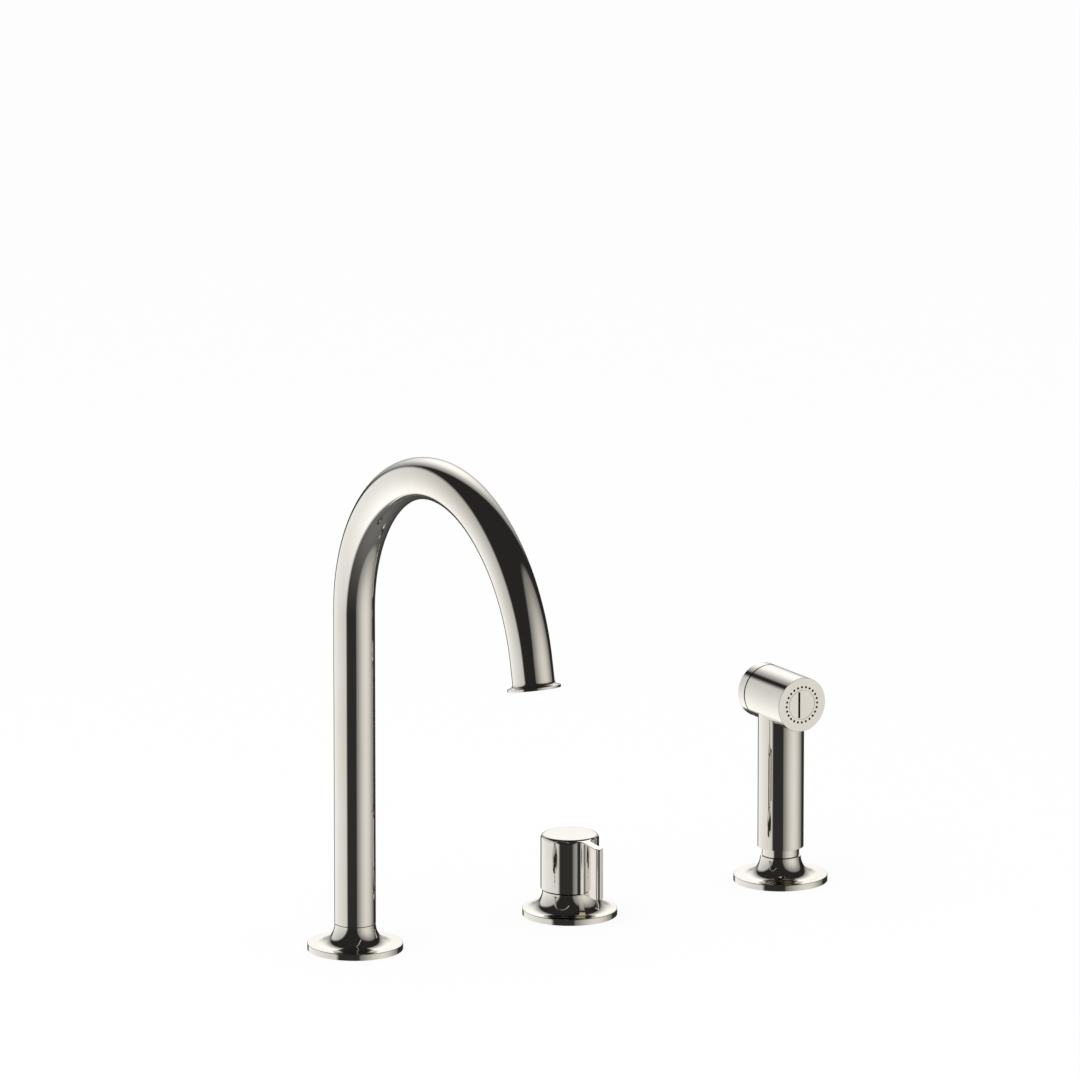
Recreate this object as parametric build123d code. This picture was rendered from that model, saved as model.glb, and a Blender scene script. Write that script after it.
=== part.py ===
from build123d import *
from math import cos, radians, sin
import os

# Side spray kitchen faucet: a swivelling gooseneck spout, a knob that turns the water on, and a
# hand spray that lifts out of its holder. Three stations stand in a row along X on one worktop.
# Millimetres, +Z up. The origin is the centre of the control station on the worktop's surface.
# The spout, the fin of the knob and the hand spray all face -Y, over the sink.

# Layout
station_pitch = 158.0  # between neighbouring stations
worktop_thickness = 30.0  # what the clamp plates are tightened against

# Clearances
thread_fit = 0.05  # radial, in a screwed or pushed joint
running_fit = 0.05  # radial, where one piece turns or slides in another
loose_fit = 0.3  # radial, where a piece only passes through
bearing_gap = 0.05  # between faces that slide past each other

# Flanges and the fixings under the worktop
flange_radius = 30.0
flange_height = 4.0
flange_edge = 0.5
gasket_radius = 26.0
gasket_height = 1.2
shank_radius = 12.0  # major radius of the M24 thread
shank_drop = 60.0
pilot_radius = 11.2  # plain end below the thread, which starts the nut
pilot_length = 8.0
plate_radius = 23.0
plate_height = 3.0
nut_across_flats = 36.0
nut_height = 8.0
port_radius = 4.0  # M8 hose ends
port_depth = 12.0
port_bore = 3.2  # waterway above the thread of a port
port_wall = 1.5  # brass left outside a port

# Bases: a foot that curls in to the flange, a belly and a soft flare up to the seam
base_top = 16.5
belly_height = 7.5
belly_step = 2.1  # belly beyond the seam
foot_step = 1.7  # belly beyond the foot

# Spout
tube_radius = 13.0
tube_wall = 2.0
slip_ring_height = 0.5
slip_ring_inset = 0.4
arch_foot = 218.3  # where the riser ends and the arch begins
crown_radius = 103.0
crown_turn = 121.3
fall_radius = 116.0
fall_turn = 46.6
outlet_run = 18.5
lip_radius = 16.5
lip_side = 1.6
flare_radius = 2.6
flare_turn = 75.0

# Spigot that carries the spout
spigot_top = 50.0
track_height = 27.0  # groove that the retaining screw runs in
track_width = 4.6
track_depth = 1.4
spout_screw_radius = 2.0
swivel_seal_heights = (36.5, 42.5)
swivel_seal_depth = 1.8
swivel_seal_width = 2.2

# Aerator, screwed into the outlet
aerator_radius = 12.0
aerator_depth = 11.0
aerator_bore = 9.6
aerator_ledge = 8.4
aerator_ledge_height = 2.5
aerator_recess = 0.6  # how far its face sits inside the lip
aerator_washer_height = 1.5
screen_height = 6.0

# Diverter in the bore of the spout's base
chamber_radius = 8.0
chamber_floor = -20.0
gallery_radius = 6.0  # under the plunger, joining the two ports
gallery_depth = 4.0
plunger_height = 4.0
plunger_flat = 6.8  # from the axis to each of the four flats that let water by
plunger_stem_radius = 3.0
plunger_stem_top = 12.0
bridge_height = 6.0
bridge_thickness = 4.0
bridge_width = 11.0
diverter_spring_radius = 5.5
diverter_spring_wire = 1.2

# Control knob and its fin
knob_radius = 18.5
knob_gap = 0.8
knob_top = 52.4
knob_round = 2.0
knob_wall = 2.9
knob_web = 34.0  # underside of the solid part above the cartridge
fin_thickness = 4.4
fin_reach = 36.1
fin_root_top = 51.5
fin_end_top = 50.3
fin_round = 0.8
knob_screw_height = 40.0
knob_screw_radius = 2.0
knob_screw_recess = 1.0

# Ceramic disc cartridge
base_step = 1.1  # knob beyond the top of the control base
cup_wall = 2.9
cup_floor = 5.5
cartridge_wall = 2.5
cartridge_foot_height = 3.5
cartridge_top = 30.0
cartridge_roof = 3.0
cartridge_nut_wall = 2.0
cartridge_nut_height = 11.0
cartridge_seal_height = 1.0
disc_height = 3.0
disc_port_radius = 2.2
disc_pocket_depth = 1.5
cold_pocket = (-68.0, -6.0)  # angles it spans with the water off
hot_pocket = (62.0, 80.0)
drive_plate_height = 3.5
spindle_radius = 5.0
spindle_square = 7.0
spindle_top = 43.5

# Holder of the hand spray
passage_radius = 8.0
sleeve_radius = 9.8
sleeve_wall = 1.5
sleeve_drop = 15.0
connector_radius = 11.9
connector_gap = 0.3
connector_top = 22.1
tail_radius = 7.9
tail_tip_radius = 6.9
tail_drop = 4.0
nipple_radius = 5.0
nipple_drop = 13.0
hose_bore = 3.5
pivot_radius = 7.0
pivot_top = 38.0
pivot_seal_height = 28.0
pivot_seal_depth = 1.6
pivot_seal_width = 2.0
clip_height = 34.0
clip_thickness = 1.2
clip_depth = 1.0  # how far it reaches into the connector, and into the grip
clip_gap = 7.0  # opening of the clip
check_valve_radius = 5.0
check_valve_bore = 2.2
check_valve_foot = 26.0

# Hand spray
grip_radius = 14.7
grip_gap = 0.2
grip_bore = 8.0
grip_floor = 3.0  # between the socket of the pivot and the waterway
head_radius = 17.5
head_axis = 120.1
head_front = 24.4  # face in front of the axis of the grip
head_back = 15.6  # seam behind the axis of the grip
head_wall = 4.0
face_thickness = 3.0
jet_count = 24
jet_radius = 0.5
jet_circle_radius = 11.5
insert_radius = 9.5
insert_flange = 1.2
insert_flange_height = 2.0
slot_length = 17.0
slot_width = 1.2
slot_offset = -2.0

# Spray button and the valve that it works
button_gap = 0.9
button_travel = 0.8
button_length = 7.4
button_round = 0.8
boss_radius = 6.0
boss_depth = 3.6  # how far the boss stands in its pocket
pocket_depth = 7.6
guide_length = 2.0
valve_neck = 8.0  # half the length of the neck that the water enters
valve_neck_radius = 8.0
valve_window_radius = 3.0
valve_front = 12.5
valve_bore = 4.5
valve_stem_radius = 2.5
stem_grip = 4.0  # how far the stem is screwed into the button
poppet_radius = 6.5
poppet_height = 2.5
valve_seal_height = 2.0
valve_spring_wire = 1.0

# Derived sizes
tube_bore = tube_radius - tube_wall
tube_foot = base_top + slip_ring_height
spigot_radius = tube_bore - running_fit
screw_height = track_height + track_width / 2
flange_bore = shank_radius + loose_fit
port_offset = pilot_radius - port_radius - port_wall
nut_top = -worktop_thickness - plate_height
gallery_floor = chamber_floor - gallery_depth
knob_foot = base_top + knob_gap
control_seam_radius = knob_radius - base_step
cup_radius = control_seam_radius - cup_wall
cartridge_radius = cup_radius - cartridge_nut_wall
cartridge_bore = cartridge_radius - cartridge_wall
disc_pocket_radius = port_offset + disc_port_radius
disc_foot = cup_floor + cartridge_seal_height
moving_disc_foot = disc_foot + disc_height + bearing_gap
pivot_socket = pivot_radius + running_fit
grip_foot = connector_top + grip_gap
spray_chamber = head_radius - head_wall
pocket_floor = pocket_depth - head_back


def turned(*edges):
    """A solid turned about Z from a closed half outline of (radius, height) points."""
    return revolve(Plane.XZ * make_face(edges), Axis.Z)


def lathe(*points):
    """A turned solid whose half outline is straight between these points."""
    return turned(Polyline(*points, close=True))


def ring(outer, inner, low, high):
    return lathe((inner, low), (outer, low), (outer, high), (inner, high))


def rod(radius, low, high):
    """An upright cylinder, as a piece or as what a drill takes away."""
    return Pos(0, 0, (low + high) / 2) * Cylinder(radius, high - low)


def groove(radius, depth, width, height):
    """Outline of a groove round a shaft, from its lower edge up."""
    low = height - width / 2
    high = height + width / 2
    return [(radius, low), (radius - depth, low), (radius - depth, high), (radius, high)]


def seal_ring(radius, depth, width, height):
    """The square-cut ring that fills such a groove."""
    return ring(radius, radius - depth + thread_fit, height - width / 2, height + width / 2)


# Flange, gasket, plate and nut, the same at each station


def deck_flange():
    recess = gasket_radius + loose_fit
    return lathe(
        (flange_bore, gasket_height),
        (recess, gasket_height),
        (recess, 0),
        (flange_radius, 0),
        (flange_radius, flange_height - flange_edge),
        (flange_radius - flange_edge, flange_height),
        (flange_bore, flange_height),
    )


def flange_gasket():
    return ring(gasket_radius, flange_bore, 0, gasket_height)


def clamp_plate():
    """A horseshoe that slips round the shank after the hoses are on."""
    outline = Circle(plate_radius) - Circle(flange_bore)
    outline -= Pos(0, plate_radius) * Rectangle(2 * flange_bore, 2 * plate_radius)
    return Pos(0, 0, nut_top) * extrude(outline, plate_height)


def lock_nut():
    outline = RegularPolygon(nut_across_flats / 2, 6, major_radius=False)
    outline -= Circle(shank_radius + thread_fit)
    return Pos(0, 0, nut_top - nut_height) * extrude(outline, nut_height)


# Bases, each turned in one piece with its threaded shank


def base_blank(seam_radius, *inside):
    """inside is the outline inside the seam, from the seam down to the end of the shank."""
    belly_radius = seam_radius + belly_step
    belly = (belly_radius, belly_height)
    foot = (belly_radius - foot_step, flange_height)
    seam = (seam_radius, base_top)
    waist = (seam_radius + belly_step / 2, (belly_height + base_top) / 2)
    curl = TangentArc(belly, foot, tangent=(0, -1))
    shoulder = TangentArc(belly, waist, tangent=(0, 1))
    flare = TangentArc(seam, waist, tangent=(0, -1))
    pilot_top = pilot_length - shank_drop
    shank = Polyline(
        foot,
        (shank_radius, flange_height),
        (shank_radius, pilot_top),
        (pilot_radius, pilot_top),
        (pilot_radius, -shank_drop),
        inside[-1],
    )
    return turned(curl, shoulder, flare, Polyline(seam, *inside), shank)


def water_port(top):
    """Drilled up from the end of a shank, and tapped for a hose at its mouth."""
    thread = rod(port_radius, -shank_drop, port_depth - shank_drop)
    return thread + rod(port_bore, port_depth - shank_drop, top)


def spout_base():
    """The spout turns on the spigot, and the diverter works in its bore."""
    grooves = groove(spigot_radius, track_depth, track_width, screw_height)
    for height in swivel_seal_heights:
        grooves += groove(spigot_radius, swivel_seal_depth, swivel_seal_width, height)
    base = base_blank(
        tube_radius,
        (spigot_radius, base_top),
        *grooves,
        (spigot_radius, spigot_top),
        (chamber_radius, spigot_top),
        (chamber_radius, chamber_floor),
        (gallery_radius, chamber_floor),
        (gallery_radius, gallery_floor),
        (0, gallery_floor),
        (0, -shank_drop),
    )
    port = water_port(gallery_floor)
    return base - [spot * port for spot in PolarLocations(port_offset, 2)]


def control_base():
    """Hot and cold come in at the back, and the mixed water leaves in front."""
    base = base_blank(
        control_seam_radius,
        (cup_radius, base_top),
        (cup_radius, cup_floor),
        (0, cup_floor),
        (0, -shank_drop),
    )
    port = water_port(cup_floor)
    return base - [spot * port for spot in PolarLocations(port_offset, 3, 30)]


def spray_base():
    bore = sleeve_radius + thread_fit
    return base_blank(
        tube_radius,
        (bore, base_top),
        (bore, -sleeve_drop),
        (passage_radius, -sleeve_drop),
        (passage_radius, -shank_drop),
    )


# Spout


def spout_path():
    """Centreline of the spout: up the riser, over two arcs that run into each other, and down."""
    riser = Line((0, tube_foot), (0, arch_foot))
    crown = JernArc(riser @ 1, riser % 1, crown_radius, crown_turn)
    fall = JernArc(crown @ 1, crown % 1, fall_radius, fall_turn)
    outlet = Line(fall @ 1, fall @ 1 + (fall % 1) * outlet_run)
    return Plane.YZ * Wire([riser, crown, fall, outlet])


def outlet_plane():
    """Centre of the outlet, with Z pointing out along the water."""
    path = spout_path()
    return Plane(origin=path @ 1, x_dir=(1, 0, 0), z_dir=path % 1)


def outlet_lip():
    """The flared rim, turned about the outlet's own axis and measured back from its face."""
    turn = radians(flare_turn)
    flare_end = tube_radius + flare_radius * (1 - cos(turn))
    flare_top = -lip_side - (lip_radius - flare_end) / sin(turn) * cos(turn)
    flare_start = flare_top - flare_radius * sin(turn)
    flare = TangentArc((tube_radius, flare_start), (flare_end, flare_top), tangent=(0, 1))
    rest = Polyline(
        (flare_end, flare_top),
        (lip_radius, -lip_side),
        (lip_radius, 0),
        (tube_bore, 0),
        (tube_bore, flare_start),
        (tube_radius, flare_start),
    )
    return turned(flare, rest)


def spout_tube():
    path = spout_path()
    foot = Plane(origin=path @ 0, z_dir=(0, 0, 1))
    tube = sweep(foot * Circle(tube_radius), path) - sweep(foot * Circle(tube_bore), path)
    tube += outlet_plane() * outlet_lip()
    seat = -aerator_recess - aerator_depth - aerator_washer_height
    tube -= outlet_plane() * rod(aerator_radius + thread_fit, seat, 0)
    screw_hole = Cylinder(spout_screw_radius + thread_fit, 4 * tube_wall)
    return tube - Pos(0, tube_radius - tube_wall / 2, screw_height) * Rot(X=90) * screw_hole


def spout_screw():
    """Low at the back of the tube. Its tip runs in the spigot's track and keeps the tube down."""
    tip = spigot_radius - track_depth + loose_fit
    head = tube_radius - loose_fit
    screw = Cylinder(spout_screw_radius, head - tip)
    return Pos(0, (head + tip) / 2, screw_height) * Rot(X=90) * screw


def slip_ring():
    return ring(tube_radius - slip_ring_inset, spigot_radius + thread_fit, base_top, tube_foot)


def swivel_seals():
    seals = [
        seal_ring(spigot_radius, swivel_seal_depth, swivel_seal_width, height)
        for height in swivel_seal_heights
    ]
    return Compound(seals)


def aerator_washer():
    seat = -aerator_recess - aerator_depth
    return outlet_plane() * ring(aerator_radius, aerator_bore, seat - aerator_washer_height, seat)


def aerator_housing():
    face = -aerator_recess
    back = face - aerator_depth
    ledge = face - aerator_ledge_height
    housing = lathe(
        (aerator_ledge, face),
        (aerator_radius, face),
        (aerator_radius, back),
        (aerator_bore, back),
        (aerator_bore, ledge),
        (aerator_ledge, ledge),
    )
    return outlet_plane() * housing


def aerator_insert():
    """The screen pack, resting on the ledge of its housing."""
    ledge = -aerator_recess - aerator_ledge_height
    return outlet_plane() * rod(aerator_bore - thread_fit, ledge - screen_height, ledge)


# Diverter. Water lifts the plunger off its seat and runs by its flats to the spout. When the hand
# spray is opened the pressure below falls, and the spring shuts the way to the spout.


def diverter_plunger():
    disc = Circle(chamber_radius - running_fit) & Rectangle(2 * plunger_flat, 2 * plunger_flat)
    plunger = Pos(0, 0, chamber_floor) * extrude(disc, plunger_height)
    return plunger + rod(plunger_stem_radius, chamber_floor, plunger_stem_top)


def diverter_bridge():
    """Pressed across the chamber, to guide the stem and hold the spring down."""
    outline = Circle(chamber_radius - thread_fit) & Rectangle(2 * chamber_radius, bridge_width)
    outline -= Circle(plunger_stem_radius + running_fit)
    return Pos(0, 0, bridge_height) * extrude(outline, bridge_thickness)


def diverter_spring():
    inner = diverter_spring_radius - diverter_spring_wire
    return ring(diverter_spring_radius, inner, chamber_floor + plunger_height, bridge_height)


# Control knob and cartridge


def knob_fin():
    root = knob_wall / 2 - knob_radius
    outline = Polyline(
        (root, knob_foot),
        (-fin_reach, knob_foot),
        (-fin_reach, fin_end_top),
        (root, fin_root_top),
        close=True,
    )
    fin = extrude(Plane.YZ * make_face(outline), fin_thickness / 2, both=True)
    return fillet(fin.edges().filter_by(Axis.Z).group_by(Axis.Y)[0], fin_round)


def control_knob():
    """Knob and fin are milled from one bar."""
    shoulder = (knob_radius, knob_top - knob_round)
    rim = (knob_radius - knob_round, knob_top)
    cavity = knob_radius - knob_wall
    rest = Polyline(
        rim,
        (0, knob_top),
        (0, knob_web),
        (cavity, knob_web),
        (cavity, knob_foot),
        (knob_radius, knob_foot),
        shoulder,
    )
    knob = turned(TangentArc(shoulder, rim, tangent=(0, 1)), rest) + knob_fin()
    socket = spindle_square + 2 * thread_fit
    knob -= Pos(0, 0, (knob_web + spindle_top) / 2) * Box(socket, socket, spindle_top - knob_web)
    screw_hole = Cylinder(knob_screw_radius + thread_fit, knob_radius)
    return knob - Pos(0, (knob_radius + spindle_square) / 2, knob_screw_height) * Rot(X=90) * screw_hole


def knob_screw():
    """Pinches the spindle from the back of the knob."""
    tip = spindle_square / 2 + thread_fit
    head = knob_radius - knob_screw_recess
    screw = Cylinder(knob_screw_radius, head - tip)
    return Pos(0, (head + tip) / 2, knob_screw_height) * Rot(X=90) * screw


def cartridge_body():
    foot_radius = cup_radius - loose_fit
    foot_top = cup_floor + cartridge_foot_height
    roof = cartridge_top - cartridge_roof
    journal = spindle_radius + running_fit
    return lathe(
        (cartridge_bore, cup_floor),
        (foot_radius, cup_floor),
        (foot_radius, foot_top),
        (cartridge_radius, foot_top),
        (cartridge_radius, cartridge_top),
        (journal, cartridge_top),
        (journal, roof),
        (cartridge_bore, roof),
    )


def cartridge_nut():
    """Screwed into the cup, on to the foot of the cartridge."""
    low = cup_floor + cartridge_foot_height
    return ring(cup_radius - thread_fit, cartridge_radius + thread_fit, low, low + cartridge_nut_height)


def ported_plate(low, thickness):
    """Two round inlets, and an outlet that reaches in to the middle."""
    outline = Circle(cartridge_bore - thread_fit)
    outline -= [spot * Circle(disc_port_radius) for spot in PolarLocations(port_offset, 2, 30, 240)]
    outlet = Rot(Z=90) * SlotCenterToCenter(port_offset, 2 * disc_port_radius)
    outline -= Pos(0, -port_offset / 2) * outlet
    return Pos(0, 0, low) * extrude(outline, thickness)


def cartridge_seal():
    return ported_plate(cup_floor, cartridge_seal_height)


def fixed_disc():
    return ported_plate(disc_foot, disc_height)


def wedge(start, end):
    """The part of a circle between two angles, from its centre out."""
    arc = CenterArc((0, 0), disc_pocket_radius, start, end - start)
    return make_face([Line((0, 0), arc @ 0), arc, Line(arc @ 1, (0, 0))])


def moving_disc():
    """Its pockets join the outlet to the cold port first, and further round to the hot one."""
    pockets = Circle(disc_port_radius) + wedge(*cold_pocket) + wedge(*hot_pocket)
    disc = rod(cartridge_bore - running_fit, moving_disc_foot, moving_disc_foot + disc_height)
    return disc - Pos(0, 0, moving_disc_foot) * extrude(pockets, disc_pocket_depth)


def spindle():
    low = moving_disc_foot + disc_height
    high = low + drive_plate_height
    drive_radius = cartridge_bore - running_fit
    shaft = lathe(
        (0, low),
        (drive_radius, low),
        (drive_radius, high),
        (spindle_radius, high),
        (spindle_radius, cartridge_top),
        (0, cartridge_top),
    )
    square = Box(spindle_square, spindle_square, spindle_top - cartridge_top)
    return shaft + Pos(0, 0, (cartridge_top + spindle_top) / 2) * square


# Holder of the hand spray, and the connector that drops into it


def holder_sleeve():
    return ring(sleeve_radius, sleeve_radius - sleeve_wall, -sleeve_drop, base_top)


def hose_connector():
    """Ends the hose, stands in the holder and carries the swivelling hand spray."""
    foot = base_top + connector_gap
    return lathe(
        (hose_bore, -nipple_drop),
        (nipple_radius, -nipple_drop),
        (nipple_radius, -tail_drop),
        (tail_tip_radius, -tail_drop),
        (tail_radius, foot),
        (connector_radius, foot),
        (connector_radius, connector_top),
        (pivot_radius, connector_top),
        *groove(pivot_radius, pivot_seal_depth, pivot_seal_width, pivot_seal_height),
        *groove(pivot_radius, clip_depth, clip_thickness, clip_height),
        (pivot_radius, pivot_top),
        (check_valve_radius, pivot_top),
        (check_valve_radius, check_valve_foot),
        (hose_bore, check_valve_foot),
    )


def pivot_seal():
    return seal_ring(pivot_radius, pivot_seal_depth, pivot_seal_width, pivot_seal_height)


def pivot_clip():
    """A snap ring. It lets the hand spray turn on the connector and stops it from pulling off."""
    outline = Circle(pivot_radius + clip_depth) - Circle(pivot_radius - clip_depth + thread_fit)
    outline -= Pos(pivot_radius, 0) * Rectangle(2 * clip_depth + pivot_radius, clip_gap)
    return Pos(0, 0, clip_height - clip_thickness / 2) * extrude(outline, clip_thickness)


def check_valve():
    return ring(check_valve_radius - thread_fit, check_valve_bore, check_valve_foot, pivot_top)


# Hand spray


def head_place():
    """Axis of the head at the grip's centre: Z runs forward to the face, and X lies across it."""
    return Plane(origin=(0, 0, head_axis), x_dir=(1, 0, 0), z_dir=(0, -1, 0))


def spray_body():
    """Grip and head are one hollow casting, closed in front by the face."""
    place = head_place()
    body = rod(grip_radius, grip_foot, head_axis) + place * rod(head_radius, -head_back, head_front)
    body -= rod(pivot_socket, grip_foot, pivot_top + grip_floor)
    body -= rod(grip_bore, pivot_top + grip_floor, head_axis)
    clip_room = clip_thickness / 2 + bearing_gap
    body -= rod(pivot_radius + clip_depth + loose_fit, clip_height - clip_room, clip_height + clip_room)
    body -= place * rod(spray_chamber, -head_back, head_front - face_thickness)
    body -= place * rod(insert_radius + thread_fit, 0, head_front)
    jet = rod(jet_radius, head_front - face_thickness, head_front)
    return body - [place * spot * jet for spot in PolarLocations(jet_circle_radius, jet_count, 90)]


def jet_insert():
    """Closes the middle of the face from inside, and has the slot of the flat spray."""
    seat = head_front - face_thickness
    insert = rod(insert_radius, seat, head_front)
    insert += rod(insert_radius + insert_flange, seat - insert_flange_height, seat)
    slot = Box(slot_width, slot_length, 2 * (face_thickness + insert_flange_height))
    return head_place() * (insert - Pos(slot_offset, 0, head_front) * slot)


def valve_body():
    """Screwed in from the back: a guide for the button, a necked middle and the seat in front."""
    outer = spray_chamber - thread_fit
    pocket = boss_radius + running_fit
    guide = valve_stem_radius + running_fit
    body = lathe(
        (pocket, -head_back),
        (outer, -head_back),
        (outer, -valve_neck),
        (valve_neck_radius, -valve_neck),
        (valve_neck_radius, valve_neck),
        (outer, valve_neck),
        (outer, valve_front),
        (valve_bore, valve_front),
        (valve_bore, pocket_floor + guide_length),
        (guide, pocket_floor + guide_length),
        (guide, pocket_floor),
        (pocket, pocket_floor),
    )
    window = Cylinder(valve_window_radius, 4 * valve_neck_radius)
    return head_place() * (body - Rot(X=90) * window - Rot(Y=90) * window)


def valve_stem():
    """Screwed into the button, with the poppet at its front end."""
    back = -head_back - button_gap - stem_grip
    poppet = valve_front + valve_seal_height
    stem = lathe(
        (0, back),
        (valve_stem_radius, back),
        (valve_stem_radius, poppet),
        (poppet_radius, poppet),
        (poppet_radius, poppet + poppet_height),
        (0, poppet + poppet_height),
    )
    return head_place() * stem


def valve_seal():
    seal = ring(poppet_radius, valve_stem_radius + thread_fit, valve_front, valve_front + valve_seal_height)
    return head_place() * seal


def valve_spring():
    """As short as the pressed button makes it."""
    outer = boss_radius - loose_fit
    back = boss_depth - head_back + button_travel + bearing_gap
    return head_place() * ring(outer, outer - valve_spring_wire, back, pocket_floor)


def spray_button():
    """The rear end of the head. Its boss slides in the valve body."""
    front = -head_back - button_gap
    back = front - button_length
    boss_front = boss_depth - head_back
    shoulder = (head_radius, back + button_round)
    rim = (head_radius - button_round, back)
    rest = Polyline(
        shoulder,
        (head_radius, front),
        (boss_radius, front),
        (boss_radius, boss_front),
        (valve_stem_radius + thread_fit, boss_front),
        (valve_stem_radius + thread_fit, front - stem_grip),
        (0, front - stem_grip),
        (0, back),
        rim,
    )
    return head_place() * turned(TangentArc(shoulder, rim, tangent=(0, -1)), rest)


station_x = {"spout": -station_pitch, "control": 0.0, "spray": station_pitch}

fixings = {"flange": deck_flange, "gasket": flange_gasket, "clamp_plate": clamp_plate, "lock_nut": lock_nut}

pieces = {
    "spout": [
        spout_base,
        slip_ring,
        swivel_seals,
        diverter_plunger,
        diverter_bridge,
        diverter_spring,
        spout_tube,
        spout_screw,
        aerator_washer,
        aerator_housing,
        aerator_insert,
    ],
    "control": [
        control_base,
        cartridge_body,
        cartridge_nut,
        cartridge_seal,
        fixed_disc,
        moving_disc,
        spindle,
        control_knob,
        knob_screw,
    ],
    "spray": [
        spray_base,
        holder_sleeve,
        hose_connector,
        pivot_seal,
        pivot_clip,
        check_valve,
        spray_body,
        jet_insert,
        valve_body,
        valve_stem,
        valve_seal,
        valve_spring,
        spray_button,
    ],
}

os.makedirs("parts", exist_ok=True)
for station, x in station_x.items():
    for name, build in fixings.items():
        export_step(Pos(x, 0, 0) * build(), f"parts/{station}_{name}.step")
    for build in pieces[station]:
        export_step(Pos(x, 0, 0) * build(), f"parts/{build.__name__}.step")
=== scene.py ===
import math
import bmesh
import bpy
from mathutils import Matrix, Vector


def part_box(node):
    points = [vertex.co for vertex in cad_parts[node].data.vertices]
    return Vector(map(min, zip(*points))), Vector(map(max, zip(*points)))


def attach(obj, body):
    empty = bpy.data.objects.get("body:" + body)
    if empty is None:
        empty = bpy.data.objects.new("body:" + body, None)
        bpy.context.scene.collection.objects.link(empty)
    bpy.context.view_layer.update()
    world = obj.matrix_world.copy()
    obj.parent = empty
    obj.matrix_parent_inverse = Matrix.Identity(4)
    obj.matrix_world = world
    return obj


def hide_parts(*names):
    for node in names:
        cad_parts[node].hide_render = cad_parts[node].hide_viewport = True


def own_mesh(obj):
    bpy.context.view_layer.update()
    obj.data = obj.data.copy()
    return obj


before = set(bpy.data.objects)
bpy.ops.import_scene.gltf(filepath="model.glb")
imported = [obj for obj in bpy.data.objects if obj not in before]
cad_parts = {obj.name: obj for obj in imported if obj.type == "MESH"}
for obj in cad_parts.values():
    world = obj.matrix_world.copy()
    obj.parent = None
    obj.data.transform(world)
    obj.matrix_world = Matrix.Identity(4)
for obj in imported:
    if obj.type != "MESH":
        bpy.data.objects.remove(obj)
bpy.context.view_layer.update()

# Side spray kitchen faucet in polished nickel. Sizes below are in millimetres, and each piece is
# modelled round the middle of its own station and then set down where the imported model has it.

mm = 0.001
weld = 0.002  # points nearer than this are one point
near = 0.05  # a face this near to a plane or a wall counts as part of it
spare = 1.0  # how far a cutting tool reaches past what it cuts
stationX = {}
for station in ("spout", "control", "spray"):
    low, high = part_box(station + "_flange")
    stationX[station] = (low.x + high.x) / 2 / mm


def pick(test):
    # selects the vertices of the piece in edit mode whose place passes the test
    piece = bpy.context.edit_object
    bpy.ops.mesh.select_all(action="DESELECT")
    shape = bmesh.from_edit_mesh(piece.data)
    for vertex in shape.verts:
        vertex.select = test(vertex.co / mm)
    shape.select_flush(True)
    bmesh.update_edit_mesh(piece.data)


def arc(start, end, tangent, steps):
    # points of the arc that leaves start along tangent and ends at end, without start itself
    along, chord = Vector(tangent).normalized(), Vector(end) - Vector(start)
    across = Vector((-along.y, along.x))
    radius = chord.length_squared / (2 * chord.dot(across))
    middle = Vector(start) + across * radius
    turn = 2 * math.atan2(along.x * chord.y - along.y * chord.x, along.dot(chord))
    points = []
    for step in range(1, steps + 1):
        angle = turn * step / steps
        spoke = Vector(start) - middle
        points.append((
            middle.x + spoke.x * math.cos(angle) - spoke.y * math.sin(angle),
            middle.y + spoke.x * math.sin(angle) + spoke.y * math.cos(angle),
        ))
    return points


def polar(radius, degrees):
    angle = math.radians(degrees)
    return radius * math.cos(angle), radius * math.sin(angle), 0


def newPiece(name):
    piece = bpy.context.object
    piece.name = piece.data.name = name
    return piece


def drawn(name, points):
    # a new piece, left in edit mode: one vertex extruded from point to point
    bpy.ops.object.select_all(action="DESELECT")
    bpy.ops.mesh.primitive_plane_add(size=mm)
    piece = newPiece(name)
    bpy.ops.object.mode_set(mode="EDIT")
    bpy.ops.mesh.merge(type="CENTER")
    bpy.ops.transform.translate(value=tuple(value * mm for value in points[0]))
    for here, there in zip(points, points[1:]):
        step = tuple((end - start) * mm for start, end in zip(here, there))
        bpy.ops.mesh.extrude_vertices_move(TRANSFORM_OT_translate={"value": step})
    return piece


def lathe(name, outline, steps=96):
    # spins a closed half outline of (radius, height) round Z
    piece = drawn(name, [(radius, 0, height) for radius, height in [*outline, outline[0]]])
    bpy.ops.mesh.select_all(action="SELECT")
    bpy.ops.mesh.spin(steps=steps, angle=2 * math.pi, center=(0, 0, 0), axis=(0, 0, 1))
    tidyShell()
    return piece


def tidyShell():
    bpy.ops.mesh.select_all(action="SELECT")
    bpy.ops.mesh.remove_doubles(threshold=weld * mm)
    bpy.ops.mesh.dissolve_degenerate(threshold=weld * mm)
    bpy.ops.mesh.normals_make_consistent(inside=False)
    bpy.ops.object.mode_set(mode="OBJECT")


def onlyActive(piece):
    bpy.ops.object.select_all(action="DESELECT")
    bpy.context.view_layer.objects.active = piece
    piece.select_set(True)


def modifier(piece, kind, **settings):
    onlyActive(piece)
    added = piece.modifiers.new(kind.title(), kind)
    for setting, value in settings.items():
        setattr(added, setting, value)
    bpy.ops.object.modifier_apply(modifier=added.name)


def softenEdges(piece, width=0.15, angle=32):
    modifier(
        piece, "BEVEL", width=width * mm, segments=2, limit_method="ANGLE",
        angle_limit=math.radians(angle), use_clamp_overlap=True,
    )


def polish(piece, angle=38):
    onlyActive(piece)
    bpy.ops.object.shade_smooth_by_angle(angle=math.radians(angle))
    modifier(piece, "WEIGHTED_NORMAL", keep_sharp=True)


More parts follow.
